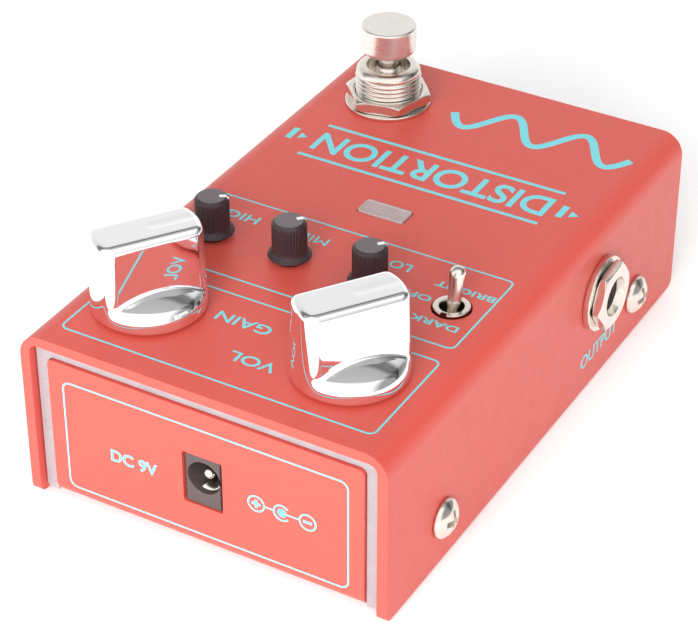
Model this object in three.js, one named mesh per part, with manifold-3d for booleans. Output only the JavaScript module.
// A compact guitar effects pedal: a folded steel cover over a tray, with two large chrome bar
// knobs, three small fluted knobs, a three-way toggle, a foot switch, a jack on each side and a
// light strip round both ends. Millimetres. +X is the player's right, +Y points to the end with
// the power inlet, and +Z is up. The origin is at the middle of the rubber pad's underside.

import * as THREE from 'three';
import { mergeVertices } from 'three/addons/utils/BufferGeometryUtils.js';
import Module from 'manifold-3d';

const wasm = await Module();
wasm.setup();

// ---- Driving dimensions ---------------------------------------------------------------------

const CASE_WIDTH = 67;
const CASE_LENGTH = 109;
const CASE_HEIGHT = 32;
const WALL = 1.8;
const CORNER_RADIUS = 4.2;
const INNER_CORNER_RADIUS = 1.6;
const FOOT_CORNER_RADIUS = 1.6;

const PAD = { width: 56, length: 98, corner: 4, thickness: 1.35 };
const TRAY_BASE = 1.4;
const SHEET = 1;
const BEND_RADIUS = 2.6;
const COVER_BASE = 0.9;
const TOP = COVER_BASE + CASE_HEIGHT;
const CEILING = TOP - WALL;
const INNER_HALF_WIDTH = CASE_WIDTH / 2 - WALL;

const PANEL_HALF_WIDTH = 29;
const PANEL_TOP = COVER_BASE + 27.65;
const PANEL_RECESS = 0.9;
const STRIP_RECESS = 1.5;

const BIG_KNOB_Y = 38;
const BIG_KNOB_X = { gain: 19.6, vol: -17.6 };
const BIG_KNOB_RADIUS = 9.5;
const BIG_KNOB_TOP_RADIUS = 9.05;
const BIG_KNOB_HEIGHT = 14.4;
const BIG_KNOB_BAR = 8;
const BIG_KNOB_DRAFT = 3.8;

const SMALL_KNOB_Y = 15.1;
const SMALL_KNOB_X = { high: 22.1, mid: 7.05, low: -8.15 };
const SMALL_KNOB_RADIUS = 2.95;
const SMALL_KNOB_BASE = 0.65;
const SMALL_KNOB_HEIGHT = 7.55;
const SMALL_KNOB_FLANGE = 3.72;

const TOGGLE = { x: -22.9, y: 14.5 };
const TOGGLE_TILT = 12;
const TOGGLE_PIVOT_DEPTH = 3;

const FOOT_SWITCH = { x: 18.6, y: -39.1 };
const FOOT_SWITCH_THREAD = 6;
const FOOT_SWITCH_STACK = 15.85;

const JACK_Y = -20.5;
const JACK_Z = COVER_BASE + 18.2;
const JACK_THREAD = 4.7;
const JACK_BORE = 3.2;

const SCREW_Y = 36.3;
const SCREW_Z = COVER_BASE + 8.5;

const LENS = { x: 0.45, y: -5.4, width: 8.8, depth: 4.1 };

const INLET = { x: 0.2, holeX: 0.12, holeZ: COVER_BASE + 14.7 };

const BOARD_Z = 20.7;
const BOARD_THICKNESS = 1.6;
const BOARD_TOP = BOARD_Z + BOARD_THICKNESS;

// Directions that the pointers are set to, in degrees from +X towards +Y.
const BIG_KNOB_POINTER = 235;
const SMALL_KNOB_POINTER = { high: 211, mid: 228, low: 228 };

// Radii of the holes in the cover and the tray.
const POT_HOLE = 3.65;
const SMALL_SHAFT_HOLE = 2.6;
const TOGGLE_HOLE = 3.4;
const COVER_SCREW_HOLE = 2;
const TRAY_SCREW_HOLE = 1.8;

const RUNNING_GAP = 0.05;
const SEAT_GAP = 0.05;
const JOINT_GAP = 0.3;

// Heights that parts stand on and hang from, above and below the main board.
const STANDING_BASE = BOARD_TOP + SEAT_GAP;
const HANGING_TOP = BOARD_Z - SEAT_GAP;

// ---- Materials ------------------------------------------------------------------------------

const finish = (color, roughness, metalness) =>
  new THREE.MeshStandardMaterial({ color, roughness, metalness });

const FINISH = {
  redPaint: finish(0xd9544a, 0.45, 0.35),
  chrome: finish(0xe6e6e8, 0.06, 1),
  nickel: finish(0xd8d2c8, 0.2, 1),
  steel: finish(0xb9bbbd, 0.35, 1),
  blackKnob: finish(0x2e2326, 0.5, 0),
  blackPlastic: finish(0x1d1a1c, 0.45, 0),
  lightStrip: finish(0xd0c4c8, 0.35, 0),
  lens: finish(0xbca6a4, 0.35, 0),
  rubber: finish(0x1a1a1a, 0.9, 0),
  board: finish(0x14502c, 0.5, 0),
  chip: finish(0x18181a, 0.55, 0),
  sleeve: finish(0x1b2a55, 0.4, 0),
};

// ---- Solids ---------------------------------------------------------------------------------

// A closed mesh as a solid, with its faces turned to point out.
function toSolid(geometry) {
  const bare = geometry.clone();
  bare.deleteAttribute('normal');
  bare.deleteAttribute('uv');
  const merged = mergeVertices(bare, 1e-5);
  const vertices = merged.attributes.position.array;
  const triangles = Uint32Array.from(merged.index.array);
  if (signedVolume(vertices, triangles) < 0) {
    for (let i = 0; i < triangles.length; i += 3) {
      [triangles[i + 1], triangles[i + 2]] = [triangles[i + 2], triangles[i + 1]];
    }
  }
  const mesh = new wasm.Mesh({
    numProp: 3,
    vertProperties: Float32Array.from(vertices),
    triVerts: triangles,
  });
  return new wasm.Manifold(mesh);
}

function signedVolume(vertices, triangles) {
  const a = new THREE.Vector3();
  const b = new THREE.Vector3();
  const c = new THREE.Vector3();
  let sum = 0;
  for (let i = 0; i < triangles.length; i += 3) {
    a.fromArray(vertices, 3 * triangles[i]);
    b.fromArray(vertices, 3 * triangles[i + 1]);
    c.fromArray(vertices, 3 * triangles[i + 2]);
    sum += a.dot(b.cross(c));
  }
  return sum;
}

function toGeometry(solid) {
  const mesh = solid.getMesh();
  const geometry = new THREE.BufferGeometry();
  geometry.setAttribute('position', new THREE.BufferAttribute(mesh.vertProperties, 3));
  geometry.setIndex(new THREE.BufferAttribute(mesh.triVerts, 1));
  geometry.computeVertexNormals();
  return geometry;
}

// A box between two corners.
function block(low, high) {
  const size = high.map((value, i) => value - low[i]);
  const geometry = new THREE.BoxGeometry(...size);
  geometry.translate(...low.map((value, i) => value + size[i] / 2));
  return toSolid(geometry);
}

// A profile of [radius, height] points turned about Z.
function turned(profile, segments = 32) {
  const points = profile.map(([radius, height]) => new THREE.Vector2(radius, height));
  const geometry = new THREE.LatheGeometry(points, segments);
  geometry.rotateX(Math.PI / 2);
  return toSolid(geometry);
}

function rod(radius, from, to, segments = 24) {
  return turned([[0, from], [radius, from], [radius, to], [0, to]], segments);
}

function ring(inner, outer, from, to, segments = 32) {
  const profile = [[inner, from], [outer, from], [outer, to], [inner, to], [inner, from]];
  return turned(profile, segments);
}

// An outline in X and Y raised along Z.
function raised(shape, from, to, curveSegments = 6) {
  const geometry = new THREE.ExtrudeGeometry(shape, {
    depth: to - from,
    bevelEnabled: false,
    curveSegments,
  });
  geometry.translate(0, 0, from);
  return toSolid(geometry);
}

// An outline in X and Z run along Y.
function runAlongY(shape, from, to, curveSegments = 6) {
  const geometry = new THREE.ExtrudeGeometry(shape, {
    depth: to - from,
    bevelEnabled: false,
    curveSegments,
  });
  geometry.rotateX(Math.PI / 2);
  geometry.translate(0, to, 0);
  return toSolid(geometry);
}

// An outline in Y and Z run along X.
function runAlongX(shape, from, to, curveSegments = 6) {
  const geometry = new THREE.ExtrudeGeometry(shape, {
    depth: to - from,
    bevelEnabled: false,
    curveSegments,
  });
  geometry.rotateX(Math.PI / 2);
  geometry.rotateZ(Math.PI / 2);
  geometry.translate(from, 0, 0);
  return toSolid(geometry);
}

// A rectangle about a centre, with rounded corners.
function roundedRectangle(width, depth, radius) {
  const shape = new THREE.Shape();
  const x = width / 2;
  const y = depth / 2;
  shape.moveTo(-x + radius, -y);
  shape.lineTo(x - radius, -y);
  shape.absarc(x - radius, -y + radius, radius, -Math.PI / 2, 0, false);
  shape.lineTo(x, y - radius);
  shape.absarc(x - radius, y - radius, radius, 0, Math.PI / 2, false);
  shape.lineTo(-x + radius, y);
  shape.absarc(-x + radius, y - radius, radius, Math.PI / 2, Math.PI, false);
  shape.lineTo(-x, -y + radius);
  shape.absarc(-x + radius, -y + radius, radius, Math.PI, 1.5 * Math.PI, false);
  return shape;
}

// A hexagonal nut with both faces chamfered to a circle.
function hexNut(acrossFlats, inner, from, to) {
  const corner = acrossFlats / Math.sqrt(3);
  const chamfer = (corner - acrossFlats / 2) * 0.55;
  const envelope = turned([
    [0, from], [corner - chamfer * 1.6, from], [corner, from + chamfer],
    [corner, to - chamfer], [corner - chamfer * 1.6, to], [0, to],
  ], 18);
  const outline = new THREE.Shape();
  for (let i = 0; i < 6; i += 1) {
    const angle = (i * Math.PI) / 3;
    const x = corner * Math.cos(angle);
    const y = corner * Math.sin(angle);
    if (i === 0) outline.moveTo(x, y);
    else outline.lineTo(x, y);
  }
  return raised(outline, from, to).intersect(envelope).subtract(rod(inner, from - 1, to + 1, 18));
}

// The stepped outline of a thread's crests and roots between two heights, as a profile.
function threadProfile(radius, depth, pitch, from, to) {
  const turns = Math.floor((to - from) / pitch);
  const step = (to - from) / turns;
  const points = [];
  for (let i = 0; i < turns; i += 1) {
    const z = from + i * step;
    points.push([radius - depth, z], [radius, z + 0.35 * step], [radius, z + 0.65 * step]);
  }
  points.push([radius - depth, to]);
  return points;
}

// ---- The scene graph ------------------------------------------------------------------------

const pedal = new THREE.Group();

function place(name, solid, material, parent = pedal) {
  const mesh = new THREE.Mesh(toGeometry(solid), material);
  mesh.name = name;
  parent.add(mesh);
  return mesh;
}

function groupAt(x, y, z, parent = pedal) {
  const group = new THREE.Group();
  group.position.set(x, y, z);
  parent.add(group);
  return group;
}

const radians = (degrees) => (degrees * Math.PI) / 180;

// ---- Cover, tray and pad --------------------------------------------------------------------

function coverOutline() {
  const outer = CASE_WIDTH / 2;
  const inner = INNER_HALF_WIDTH;
  const innerRadius = INNER_CORNER_RADIUS;
  const shoulder = TOP - CORNER_RADIUS;
  const innerShoulder = CEILING - innerRadius;
  const shape = new THREE.Shape();
  shape.moveTo(-outer, COVER_BASE);
  shape.lineTo(-outer, shoulder);
  shape.absarc(-outer + CORNER_RADIUS, shoulder, CORNER_RADIUS, Math.PI, Math.PI / 2, true);
  shape.lineTo(outer - CORNER_RADIUS, TOP);
  shape.absarc(outer - CORNER_RADIUS, shoulder, CORNER_RADIUS, Math.PI / 2, 0, true);
  shape.lineTo(outer, COVER_BASE);
  shape.lineTo(inner, COVER_BASE);
  shape.lineTo(inner, innerShoulder);
  shape.absarc(inner - innerRadius, innerShoulder, innerRadius, 0, Math.PI / 2, false);
  shape.lineTo(-inner + innerRadius, CEILING);
  shape.absarc(-inner + innerRadius, innerShoulder, innerRadius, Math.PI / 2, Math.PI, false);
  shape.lineTo(-inner, COVER_BASE);
  shape.closePath();
  return shape;
}

// What a rounded lower corner takes off the end of the side walls.
function cornerWaste(end) {
  const r = FOOT_CORNER_RADIUS;
  const shape = new THREE.Shape();
  shape.moveTo(-1, -1);
  shape.lineTo(r, -1);
  shape.lineTo(r, 0);
  shape.absarc(r, r, r, -Math.PI / 2, -Math.PI, true);
  shape.lineTo(-1, r);
  shape.closePath();
  const waste = runAlongX(shape, -CASE_WIDTH, CASE_WIDTH);
  const turn = end < 0 ? 0 : 180;
  return waste.rotate([0, 0, turn]).translate([0, (end * CASE_LENGTH) / 2, COVER_BASE]);
}

function topHole(radius, x, y) {
  return rod(radius, CEILING - 1, TOP + 1, 20).translate([x, y, 0]);
}

function sideHole(radius, y, z) {
  return rod(radius, -CASE_WIDTH, CASE_WIDTH, 16).rotate([0, 90, 0]).translate([0, y, z]);
}

function makeCover() {
  let cover = runAlongY(coverOutline(), -CASE_LENGTH / 2, CASE_LENGTH / 2, 8);
  cover = cover.subtract(cornerWaste(-1)).subtract(cornerWaste(1));
  cover = cover.subtract(topHole(FOOT_SWITCH_THREAD + 0.1, FOOT_SWITCH.x, FOOT_SWITCH.y));
  cover = cover.subtract(topHole(TOGGLE_HOLE, TOGGLE.x, TOGGLE.y));
  for (const x of Object.values(BIG_KNOB_X)) {
    cover = cover.subtract(topHole(POT_HOLE, x, BIG_KNOB_Y));
  }
  for (const x of Object.values(SMALL_KNOB_X)) {
    cover = cover.subtract(topHole(SMALL_SHAFT_HOLE, x, SMALL_KNOB_Y));
  }
  const slot = roundedRectangle(LENS.width + JOINT_GAP, LENS.depth + JOINT_GAP, 0.5);
  cover = cover.subtract(raised(slot, CEILING - 1, TOP + 1, 3).translate([LENS.x, LENS.y, 0]));
  cover = cover.subtract(sideHole(JACK_THREAD + 0.15, JACK_Y, JACK_Z));
  for (const y of [-SCREW_Y, SCREW_Y]) {
    cover = cover.subtract(sideHole(COVER_SCREW_HOLE, y, SCREW_Z));
  }
  return cover;
}

// The tray's outline in Y and Z: a bottom plate with both ends bent up.
function trayOutline() {
  const end = CASE_LENGTH / 2 - PANEL_RECESS;
  const inside = end - SHEET;
  const inner = BEND_RADIUS - SHEET;
  const base = TRAY_BASE;
  const shape = new THREE.Shape();
  shape.moveTo(-end, PANEL_TOP);
  shape.lineTo(-end, base + BEND_RADIUS);
  shape.absarc(-end + BEND_RADIUS, base + BEND_RADIUS, BEND_RADIUS, Math.PI, 1.5 * Math.PI, false);
  shape.lineTo(end - BEND_RADIUS, base);
  shape.absarc(end - BEND_RADIUS, base + BEND_RADIUS, BEND_RADIUS, 1.5 * Math.PI, 2 * Math.PI, false);
  shape.lineTo(end, PANEL_TOP);
  shape.lineTo(inside, PANEL_TOP);
  shape.lineTo(inside, base + BEND_RADIUS);
  shape.absarc(end - BEND_RADIUS, base + BEND_RADIUS, inner, 0, -Math.PI / 2, true);
  shape.lineTo(-end + BEND_RADIUS, base + SHEET);
  shape.absarc(-end + BEND_RADIUS, base + BEND_RADIUS, inner, -Math.PI / 2, -Math.PI, true);
  shape.lineTo(-inside, PANEL_TOP);
  shape.closePath();
  return shape;
}

const TAB_OUTER = INNER_HALF_WIDTH - JOINT_GAP;
const TAB_HALF_LENGTH = 7;
const TAB_TOP = 15.4;
const WING_HALF_LENGTH = 48;
const WINDOW = { halfWidth: 3.7, base: COVER_BASE + 9.1, top: COVER_BASE + 19 };

function makeTray() {
  let tray = runAlongX(trayOutline(), -PANEL_HALF_WIDTH, PANEL_HALF_WIDTH);
  tray = tray.add(
    block([-TAB_OUTER, -WING_HALF_LENGTH, TRAY_BASE], [TAB_OUTER, WING_HALF_LENGTH, TRAY_BASE + SHEET]),
  );
  for (const side of [-1, 1]) {
    for (const y of [-SCREW_Y, SCREW_Y]) {
      const faces = [side * TAB_OUTER, side * (TAB_OUTER - SHEET)].sort((a, b) => a - b);
      tray = tray.add(
        block(
          [faces[0], y - TAB_HALF_LENGTH, TRAY_BASE],
          [faces[1], y + TAB_HALF_LENGTH, TAB_TOP],
        ),
      );
    }
  }
  for (const y of [-SCREW_Y, SCREW_Y]) {
    tray = tray.subtract(sideHole(TRAY_SCREW_HOLE, y, SCREW_Z));
  }
  const window = block(
    [INLET.x - WINDOW.halfWidth, CASE_LENGTH / 2 - 5, WINDOW.base],
    [INLET.x + WINDOW.halfWidth, CASE_LENGTH / 2 + 1, WINDOW.top],
  );
  return tray.subtract(window);
}

place('top_cover', makeCover(), FINISH.redPaint);
place('base_tray', makeTray(), FINISH.redPaint);
const padOutline = roundedRectangle(PAD.width, PAD.length, PAD.corner);
place('rubber_pad', raised(padOutline, 0, PAD.thickness), FINISH.rubber);

// ---- Light strips and their boards ----------------------------------------------------------

const STRIP_OUTER = INNER_HALF_WIDTH - 0.25;
const STRIP_INNER = PANEL_HALF_WIDTH + JOINT_GAP;
const STRIP_TOP = CEILING - 0.25;
const STRIP_RADIUS = INNER_CORNER_RADIUS - 0.2;
const STRIP_BACK = CASE_LENGTH / 2 - 4.3;
const STRIP_FACE = CASE_LENGTH / 2 - STRIP_RECESS;
const LIP_FACE = CASE_LENGTH / 2 - PANEL_RECESS - SHEET - JOINT_GAP;
const LIP_WIDTH = 2.1;

// The strip's upside-down U in X and Z, down to a base and in to an inner half width and top.
function archOutline(inner, innerTop, base) {
  const outer = STRIP_OUTER;
  const radius = STRIP_RADIUS;
  const shape = new THREE.Shape();
  shape.moveTo(-outer, base);
  shape.lineTo(-outer, STRIP_TOP - radius);
  shape.absarc(-outer + radius, STRIP_TOP - radius, radius, Math.PI, Math.PI / 2, true);
  shape.lineTo(outer - radius, STRIP_TOP);
  shape.absarc(outer - radius, STRIP_TOP - radius, radius, Math.PI / 2, 0, true);
  shape.lineTo(outer, base);
  shape.lineTo(inner, base);
  shape.lineTo(inner, innerTop);
  shape.lineTo(-inner, innerTop);
  shape.lineTo(-inner, base);
  shape.closePath();
  return shape;
}

function makeLightStrip() {
  const bandTop = PANEL_TOP + JOINT_GAP;
  const band = archOutline(STRIP_INNER, bandTop, TRAY_BASE + JOINT_GAP);
  const lip = archOutline(STRIP_INNER - LIP_WIDTH, bandTop - LIP_WIDTH, TRAY_BASE + 3.2);
  return runAlongY(band, STRIP_BACK, STRIP_FACE).add(runAlongY(lip, STRIP_BACK, LIP_FACE));
}

// A narrow board with a row of small lamps facing the strip.
function makeLightBoard() {
  const back = CASE_LENGTH / 2 - 6.3;
  const halfWidth = 26.8;
  const middle = 26;
  const halfHeight = 3;
  const lampHalf = 1.4;
  const lampPitch = 8;
  let board = block([-halfWidth, back, middle - halfHeight], [halfWidth, back + 1, middle + halfHeight]);
  for (let x = -3 * lampPitch; x <= 3 * lampPitch; x += lampPitch) {
    const low = [x - lampHalf, back + 0.5, middle - lampHalf];
    const high = [x + lampHalf, back + 1.7, middle + lampHalf];
    board = board.add(block(low, high));
  }
  return board;
}

const lightStrip = makeLightStrip();
const lightBoard = makeLightBoard();
place('light_strip_rear', lightStrip, FINISH.lightStrip);
place('light_strip_front', lightStrip.rotate([0, 0, 180]), FINISH.lightStrip);
place('light_board_rear', lightBoard, FINISH.board);
place('light_board_front', lightBoard.rotate([0, 0, 180]), FINISH.board);

// ---- Cover screws ---------------------------------------------------------------------------

// A domed cross-recess screw along +Z, seated at height 0.
function makeScrew() {
  const head = turned([
    [0, 0], [3.4, 0], [3.55, 0.15], [3.55, 0.6], [2.6, 1.6], [1.4, 2.1], [0, 2.25],
  ], 18);
  const shank = rod(1.7, -5, 0.2, 12);
  const slot = 0.38;
  const reach = 1.5;
  const floor = 1.1;
  let recess = block([-slot, -reach, floor], [slot, reach, 3]);
  recess = recess.add(block([-reach, -slot, floor], [reach, slot, 3]));
  return head.add(shank).subtract(recess);
}

const screw = makeScrew();
const SCREW_SITES = [
  { side: -1, y: SCREW_Y },
  { side: -1, y: -SCREW_Y },
  { side: 1, y: SCREW_Y },
  { side: 1, y: -SCREW_Y },
];
SCREW_SITES.forEach(({ side, y }, i) => {
  const site = groupAt(side * (CASE_WIDTH / 2 + SEAT_GAP), y, SCREW_Z);
  site.rotation.y = (side * Math.PI) / 2;
  place(`cover_screw_${i + 1}`, screw.rotate([0, 0, 20 * i + 15]), FINISH.nickel, site);
});

// ---- Boards and the parts on them -----------------------------------------------------------

const BOARD_HALF_WIDTH = 28.5;
const MAIN_BOARD_Y = { from: -10.5, to: 47.4 };
const JACK_BOARD_Y = { from: -29, to: -6.5 };
const JACK_BOARD_TOP = 11.4;
const JACK_BOARD_PARTS = JACK_BOARD_TOP + SEAT_GAP;

place(
  'main_board',
  block([-BOARD_HALF_WIDTH, MAIN_BOARD_Y.from, BOARD_Z], [BOARD_HALF_WIDTH, MAIN_BOARD_Y.to, BOARD_TOP]),
  FINISH.board,
);
place(
  'jack_board',
  block(
    [-BOARD_HALF_WIDTH, JACK_BOARD_Y.from, JACK_BOARD_TOP - BOARD_THICKNESS],
    [BOARD_HALF_WIDTH, JACK_BOARD_Y.to, JACK_BOARD_TOP],
  ),
  FINISH.board,
);
place('board_header', block([-10, -9.7, JACK_BOARD_PARTS], [10, -7.2, HANGING_TOP]), FINISH.blackPlastic);
place('bypass_relay', block([-3.9, -27.6, JACK_BOARD_PARTS], [3.9, -13.2, 20.6]), FINISH.blackPlastic);

// A can capacitor hanging under the main board.
function makeCapacitor() {
  const radius = 3.15;
  const end = HANGING_TOP - 6.95;
  return turned([
    [0, HANGING_TOP], [radius, HANGING_TOP], [radius, end + 0.3], [radius - 0.35, end], [0, end],
  ], 16);
}

const capacitor = makeCapacitor();
const CAPACITOR_SITES = [[-15, 30], [15, 30], [-15, 10]];
CAPACITOR_SITES.forEach(([x, y], i) => {
  place(`capacitor_${i + 1}`, capacitor, FINISH.sleeve, groupAt(x, y, 0));
});

const chip = block([-2, -2.5, HANGING_TOP - 1.5], [2, 2.5, HANGING_TOP]);
const CHIP_SITES = [[0, 27], [0, 17]];
CHIP_SITES.forEach(([x, y], i) => {
  place(`op_amp_${i + 1}`, chip, FINISH.chip, groupAt(x, y, 0));
});

// ---- Large knobs and their potentiometers ---------------------------------------------------

const BIG_SHAFT_RADIUS = 3;

// The knob stands on z = 0 with its pointer end along +X.
function makeBarKnob() {
  const height = BIG_KNOB_HEIGHT;
  const edge = 1.3;
  const body = turned([
    [0, 0],
    [BIG_KNOB_RADIUS - 0.15, 0],
    [BIG_KNOB_RADIUS, 0.15],
    [BIG_KNOB_TOP_RADIUS, height - edge],
    [BIG_KNOB_TOP_RADIUS - 0.35, height - 0.4],
    [BIG_KNOB_TOP_RADIUS - edge, height],
    [0, height],
  ], 40);

  const bar = new THREE.Shape();
  const half = BIG_KNOB_BAR / 2;
  const foot = half + (height + 1) * Math.tan(radians(BIG_KNOB_DRAFT));
  bar.moveTo(-foot, -1);
  bar.lineTo(-half, height - edge);
  bar.absarc(-half + edge, height - edge, edge, Math.PI, Math.PI / 2, true);
  bar.absarc(half - edge, height - edge, edge, Math.PI / 2, 0, true);
  bar.lineTo(foot, -1);
  bar.closePath();
  const barSolid = runAlongY(bar, -12, 12, 4).rotate([0, 0, 90]);

  const sphere = 16.6;
  const crown = 5.8;
  const reach = 12;
  const dome = [[0, -1], [reach, -1]];
  for (let radius = reach; radius >= 0; radius -= 2) {
    dome.push([radius, crown - sphere + Math.sqrt(sphere * sphere - radius * radius)]);
  }
  const shoulders = turned(dome, 40);

  const hollow = rod(7.6, -1, 3, 24).add(rod(BIG_SHAFT_RADIUS + RUNNING_GAP, -1, 11, 20));
  return body.intersect(barSolid.add(shoulders)).subtract(hollow);
}

function makeBigPotBody() {
  return turned([
    [0, 0], [8.2, 0], [8.2, 7], [3.5, 7], [3.5, 13.2], [3.15, 13.2], [3.15, 1], [0, 1],
  ], 20);
}

const BIG_KNOB_BASE = TOP + 0.4;
const barKnob = makeBarKnob();
const bigPotBody = makeBigPotBody();
const bigPotShaft = rod(BIG_SHAFT_RADIUS, 1.3, 20.5, 20);
const bigPotNut = hexNut(10, 3.6, 0, 2);

for (const [name, x] of Object.entries(BIG_KNOB_X)) {
  const pot = groupAt(x, BIG_KNOB_Y, STANDING_BASE);
  place(`${name}_pot_body`, bigPotBody, FINISH.steel, pot);
  place(`${name}_pot_shaft`, bigPotShaft, FINISH.steel, pot);
  place(`${name}_pot_nut`, bigPotNut, FINISH.steel, groupAt(x, BIG_KNOB_Y, TOP + SEAT_GAP));
  const knob = groupAt(x, BIG_KNOB_Y, BIG_KNOB_BASE);
  knob.rotation.z = radians(BIG_KNOB_POINTER);
  place(`${name}_knob`, barKnob, FINISH.chrome, knob);
}

// ---- Small knobs and their potentiometers ---------------------------------------------------

const SMALL_SHAFT_RADIUS = 1.7;

function makeSmallKnob() {
  const height = SMALL_KNOB_HEIGHT;
  const body = turned([
    [0, SMALL_KNOB_BASE],
    [SMALL_KNOB_FLANGE, SMALL_KNOB_BASE],
    [SMALL_KNOB_FLANGE, SMALL_KNOB_BASE + 0.7],
    [SMALL_KNOB_RADIUS, SMALL_KNOB_BASE + 1.3],
    [SMALL_KNOB_RADIUS, height - 0.45],
    [SMALL_KNOB_RADIUS - 0.35, height],
    [0, height],
  ], 20);
  return body.subtract(rod(SMALL_SHAFT_RADIUS + 0.15, -1, 5.4, 12));
}

function makeSmallPotBody() {
  const housing = raised(roundedRectangle(9.8, 11, 0.8), 0, 7, 1);
  return housing.subtract(rod(1.9, 1, 8, 12));
}

const smallKnob = makeSmallKnob();
const smallPotBody = makeSmallPotBody();
const smallPotShaft = rod(SMALL_SHAFT_RADIUS, 1.3, 15.5, 12);

for (const [name, x] of Object.entries(SMALL_KNOB_X)) {
  const pot = groupAt(x, SMALL_KNOB_Y, STANDING_BASE);
  place(`${name}_pot_body`, smallPotBody, FINISH.blackPlastic, pot);
  place(`${name}_pot_shaft`, smallPotShaft, FINISH.steel, pot);
  const knob = groupAt(x, SMALL_KNOB_Y, TOP);
  knob.rotation.z = radians(SMALL_KNOB_POINTER[name]);
  place(`${name}_knob`, smallKnob, FINISH.blackKnob, knob);
}

// ---- Toggle switch --------------------------------------------------------------------------

const TOGGLE_BODY_TOP = 29.5;

function makeToggleBody() {
  const housing = block([-3.45, -6.35, STANDING_BASE], [3.45, 6.35, TOGGLE_BODY_TOP]);
  return housing.subtract(rod(2.15, 26.8, TOGGLE_BODY_TOP + 1, 24));
}

function makeToggleBushing() {
  const base = TOGGLE_BODY_TOP + SEAT_GAP;
  const rim = TOP + 0.45;
  const profile = [
    [2, base], [2.8, base], [2.8, TOP + 0.05], [3.08, TOP + 0.1], [3.08, rim - 0.15],
    [2.95, rim], [2.15, rim], [2, rim - 0.3], [2, base],
  ];
  const keyway = block([-0.57, 2.45, base - 1], [0.57, 4, rim + 1]);
  return turned(profile, 24).subtract(keyway);
}

// The bat-shaped lever, upright, with its pivot at the origin.
function makeToggleLever() {
  const tip = 1.38;
  const tipCentre = 8.75;
  const profile = [[0, -1.6], [1, -1.35], [1.5, -0.6], [1.6, 0], [1.45, 0.7], [1.05, 1.3], [1.05, 2.2]];
  profile.push([tip, tipCentre - 0.6]);
  for (let i = 0; i <= 3; i += 1) {
    const angle = (i * Math.PI) / 6;
    profile.push([i === 3 ? 0 : tip * Math.cos(angle), tipCentre + tip * Math.sin(angle)]);
  }
  return turned(profile, 16);
}

const toggle = groupAt(TOGGLE.x, TOGGLE.y, 0);
place('toggle_body', makeToggleBody(), FINISH.blackPlastic, toggle);
place('toggle_bushing', makeToggleBushing(), FINISH.nickel, toggle);
const togglePivot = groupAt(0, 0, TOP - TOGGLE_PIVOT_DEPTH, toggle);
togglePivot.rotation.x = radians(TOGGLE_TILT);
place('toggle_lever', makeToggleLever(), FINISH.nickel, togglePivot);

// ---- Status lamp ----------------------------------------------------------------------------

function makeLens() {
  const border = 2.4;
  const flangeTop = CEILING - 0.2;
  const window = raised(roundedRectangle(LENS.width, LENS.depth, 0.4), CEILING - 1, TOP + 0.3, 2);
  const flange = roundedRectangle(LENS.width + border, LENS.depth + border, 0.6);
  return window.add(raised(flange, flangeTop - 1.5, flangeTop, 2));
}

const lamp = groupAt(LENS.x, LENS.y, 0);
place('led_lens', makeLens(), FINISH.lens, lamp);
const statusLamp = turned([
  [0, STANDING_BASE], [1.9, STANDING_BASE], [1.9, STANDING_BASE + 1], [1.5, STANDING_BASE + 1],
  [1.5, 26.6], [1.2, 27.4], [0.6, 27.9], [0, 28],
], 14);
place('status_led', statusLamp, FINISH.lens, lamp);

// ---- Foot switch ----------------------------------------------------------------------------

const SWITCH_BODY_BASE = 14.8;
const SWITCH_BODY_TOP = 29.3;
const SWITCH_SPRING_SEAT = 20;
const STEM_RADIUS = 2;
const STEM_FOOT_RADIUS = 2.75;
const STEM_BASE = 24.4;
const CAP_RADIUS = 5;
const CAP_BASE = TOP + 10.6;
const CAP_SOCKET = 3;
const PLUNGER_GUIDE = STEM_RADIUS + 0.25;

function makeSwitchBody() {
  const housing = raised(roundedRectangle(16.4, 16.4, 1.2), SWITCH_BODY_BASE, SWITCH_BODY_TOP, 2);
  return housing.subtract(rod(3.4, SWITCH_SPRING_SEAT, SWITCH_BODY_TOP + 1, 16));
}

function makeSwitchBushing() {
  const base = SWITCH_BODY_TOP + SEAT_GAP;
  const rim = TOP + 7.7;
  const thread = threadProfile(FOOT_SWITCH_THREAD, 0.3, 1.2, TOP + 2.9, rim - 1.3);
  const profile = [
    [PLUNGER_GUIDE, base], [FOOT_SWITCH_THREAD, base], [FOOT_SWITCH_THREAD, TOP + 2.3], ...thread,
    [5.8, rim - 1.3], [5.8, rim - 0.9], [5.45, rim - 0.3], [4.9, rim],
    [4.1, rim], [3.95, rim - 0.15], [3.95, TOP + 3], [PLUNGER_GUIDE, TOP + 2], [PLUNGER_GUIDE, base],
  ];
  return turned(profile, 28);
}

// A compression spring of round wire, as turns of a helix.
function makeReturnSpring() {
  const wire = 0.35;
  const coil = 2.4;
  const turns = 4;
  const low = SWITCH_SPRING_SEAT + wire + 0.1;
  const high = STEM_BASE - wire - 0.1;
  class Helix extends THREE.Curve {
    getPoint(t, target = new THREE.Vector3()) {
      const angle = 2 * Math.PI * turns * t;
      return target.set(coil * Math.cos(angle), coil * Math.sin(angle), low + (high - low) * t);
    }
  }
  const section = new THREE.Shape();
  for (let i = 0; i < 4; i += 1) {
    const angle = (i * Math.PI) / 2;
    if (i === 0) section.moveTo(wire, 0);
    else section.lineTo(wire * Math.cos(angle), wire * Math.sin(angle));
  }
  const geometry = new THREE.ExtrudeGeometry(section, {
    steps: 12 * turns,
    extrudePath: new Helix(),
    bevelEnabled: false,
  });
  return toSolid(geometry);
}

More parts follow.
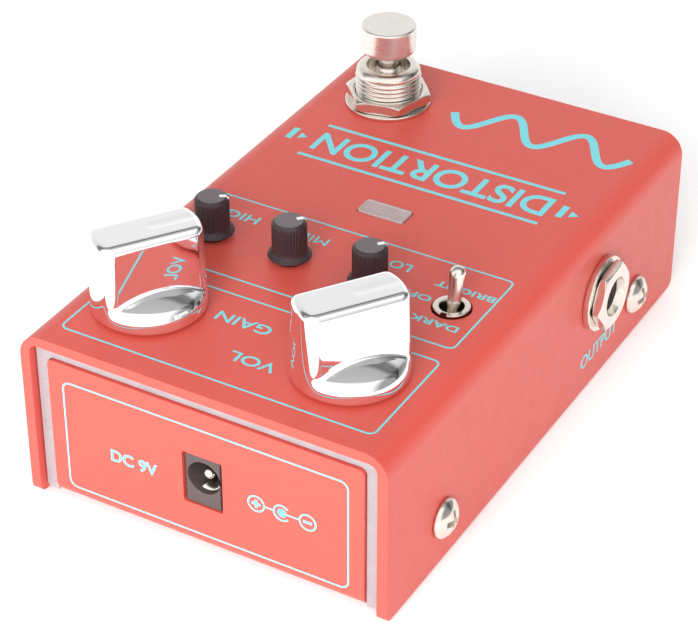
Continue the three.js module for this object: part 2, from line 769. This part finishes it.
function makeSwitchCap() {
  const base = CAP_BASE;
  const crown = TOP + FOOT_SWITCH_STACK;
  const cap = turned([
    [0, base], [CAP_RADIUS - 0.7, base], [CAP_RADIUS, base + 0.7],
    [CAP_RADIUS, crown - 0.45], [CAP_RADIUS - 0.13, crown - 0.13], [CAP_RADIUS - 0.45, crown],
    [0, crown],
  ], 28);
  return cap.subtract(rod(STEM_RADIUS + RUNNING_GAP, base - 1, base + CAP_SOCKET, 20));
}

const footSwitch = groupAt(FOOT_SWITCH.x, FOOT_SWITCH.y, 0);
const lockNut = hexNut(14, FOOT_SWITCH_THREAD + 0.1, SWITCH_BODY_TOP + SEAT_GAP, CEILING - SEAT_GAP);
const topNut = hexNut(14, FOOT_SWITCH_THREAD + 0.1, TOP + 0.8, TOP + 2.9);
const topWasher = ring(FOOT_SWITCH_THREAD + 0.15, 7.9, TOP + SEAT_GAP, TOP + 0.75, 24);
const stemTop = CAP_BASE + CAP_SOCKET - 0.2;
const stemFootTop = STEM_BASE + 2;
const stem = turned([
  [0, STEM_BASE], [STEM_FOOT_RADIUS, STEM_BASE], [STEM_FOOT_RADIUS, stemFootTop],
  [STEM_RADIUS, stemFootTop], [STEM_RADIUS, stemTop], [0, stemTop],
], 20);
place('footswitch_body', makeSwitchBody(), FINISH.blackPlastic, footSwitch);
place('footswitch_bushing', makeSwitchBushing(), FINISH.nickel, footSwitch);
place('footswitch_lock_nut', lockNut, FINISH.nickel, footSwitch);
place('footswitch_washer', topWasher, FINISH.nickel, footSwitch);
place('footswitch_nut', topNut.rotate([0, 0, 13]), FINISH.nickel, footSwitch);
place('footswitch_spring', makeReturnSpring(), FINISH.steel, footSwitch);
place('footswitch_stem', stem, FINISH.nickel, footSwitch);
place('footswitch_cap', makeSwitchCap(), FINISH.nickel, footSwitch);

// ---- Jacks ----------------------------------------------------------------------------------

const JACK_INSIDE = -(WALL + JOINT_GAP);
const JACK_BODY_LENGTH = 22;
const JACK_MOUTH = 3.2;

// The jack's pieces stand along +Z with 0 at the wall's outside, and their group turns them.

function makeJackBody() {
  const housing = raised(roundedRectangle(14, 15.6, 1), JACK_INSIDE - JACK_BODY_LENGTH, JACK_INSIDE, 1);
  return housing.subtract(rod(JACK_BORE, -40, 1, 24));
}

function makeJackBushing() {
  const base = JACK_INSIDE + SEAT_GAP;
  return turned([
    [JACK_BORE, base], [JACK_THREAD, base], [JACK_THREAD, JACK_MOUTH - 0.3], [JACK_THREAD - 0.3, JACK_MOUTH],
    [JACK_BORE + 0.35, JACK_MOUTH], [JACK_BORE, JACK_MOUTH - 1.3], [JACK_BORE, base],
  ], 24);
}

const jackBody = makeJackBody();
const jackBushing = makeJackBushing();
const jackWasher = ring(JACK_THREAD + 0.15, 6.8, SEAT_GAP, 1.3, 24);
const jackNut = hexNut(11, JACK_THREAD + 0.1, 1.35, 3.1).rotate([0, 0, 36]);

for (const [name, side] of [['output', -1], ['input', 1]]) {
  const jack = groupAt((side * CASE_WIDTH) / 2, JACK_Y, JACK_Z);
  jack.rotation.y = (side * Math.PI) / 2;
  place(`${name}_jack_body`, jackBody, FINISH.blackPlastic, jack);
  place(`${name}_jack_bushing`, jackBushing, FINISH.nickel, jack);
  place(`${name}_jack_washer`, jackWasher, FINISH.nickel, jack);
  place(`${name}_jack_nut`, jackNut, FINISH.nickel, jack);
}

// ---- Power inlet ----------------------------------------------------------------------------

const INLET_SHOULDER = CASE_LENGTH / 2 - PANEL_RECESS - SHEET - 0.1;
const INLET_FACE = CASE_LENGTH / 2 - PANEL_RECESS - 0.3;
const INLET_DEPTH = 14;
const INLET_BASE = 9.4;
const INLET_BORE = { radius: 3, depth: 10.2 };
const INLET_NOSE = { left: 3.15, right: 3.25, base: 0.15, top: 0.2 };

function makeInletBody() {
  const housing = block(
    [INLET.x - 4.5, INLET_SHOULDER - INLET_DEPTH, INLET_BASE],
    [INLET.x + 4.5, INLET_SHOULDER, HANGING_TOP],
  );
  const nose = block(
    [INLET.x - INLET_NOSE.left, INLET_SHOULDER - 1, WINDOW.base + INLET_NOSE.base],
    [INLET.x + INLET_NOSE.right, INLET_FACE, WINDOW.top - INLET_NOSE.top],
  );
  let bore = rod(INLET_BORE.radius, 0, INLET_BORE.depth + 1, 28).rotate([-90, 0, 0]);
  bore = bore.translate([INLET.holeX, INLET_FACE - INLET_BORE.depth, INLET.holeZ]);
  return housing.add(nose).subtract(bore);
}

place('dc_jack_body', makeInletBody(), FINISH.blackPlastic);
const inletPin = turned([
  [0, 0.2], [1.05, 0.2], [1.05, 8.2], [0.85, 8.8], [0.45, 9.15], [0, 9.25],
], 16);
const inletPinGroup = groupAt(INLET.holeX, INLET_FACE - INLET_BORE.depth, INLET.holeZ);
inletPinGroup.rotation.x = -Math.PI / 2;
place('dc_jack_pin', inletPin, FINISH.nickel, inletPinGroup);

export default pedal;
